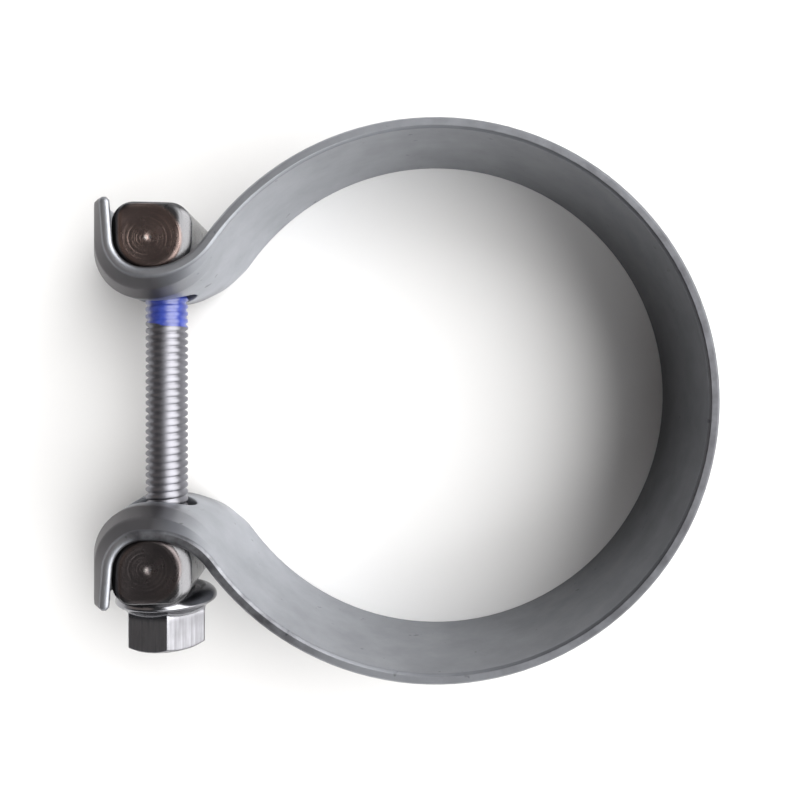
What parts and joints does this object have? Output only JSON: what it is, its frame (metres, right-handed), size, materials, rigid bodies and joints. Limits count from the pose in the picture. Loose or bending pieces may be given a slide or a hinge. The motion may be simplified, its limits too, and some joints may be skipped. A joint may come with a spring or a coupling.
{
  "type": "exhaust pipe clamp",
  "caption": "Flat steel band clamp for an exhaust pipe, its hooked ends drawn together by a flange bolt through two cross-drilled pins.",
  "frame": {"origin": "on the ring's axis, at the middle of the band's width", "axes": "+Z along the ring's axis, towards the face the picture shows; +X from the ring's centre away from the ears; +Y from the bolt's head towards its tip"},
  "size_m": [0.0829, 0.0722, 0.0226],
  "materials": {
    "band_steel": "satin, lightly mottled stainless strip",
    "pin_steel": "turned, dull brownish",
    "bolt_steel": "bright zinc plate",
    "patch_blue": "matte blue thread-locking coat"
  },
  "bodies": {
    "clamp_band": {"band": "band_steel", "seat_pin": "pin_steel"},
    "clamp_bolt": {"bolt": "bolt_steel", "locking_patch": "patch_blue"},
    "clamp_nut": {"nut_pin": "pin_steel"}
  },
  "joints": [
    {"name": "bolt_spin", "type": "hinge", "parent": "clamp_band", "child": "clamp_bolt", "pos_m": [-0.0377, 0, 0], "axis": [0, 1, 0], "range_deg": [-1800, 0]},
    {"name": "nut_travel", "type": "slide", "parent": "clamp_band", "child": "clamp_nut", "axis": [0, 1, 0], "range_m": [0, 0.005]}
  ],
  "couplings": [
    {"joint": "bolt_spin", "follows": "nut_travel", "rad_per_m": -6283.2}
  ]
}
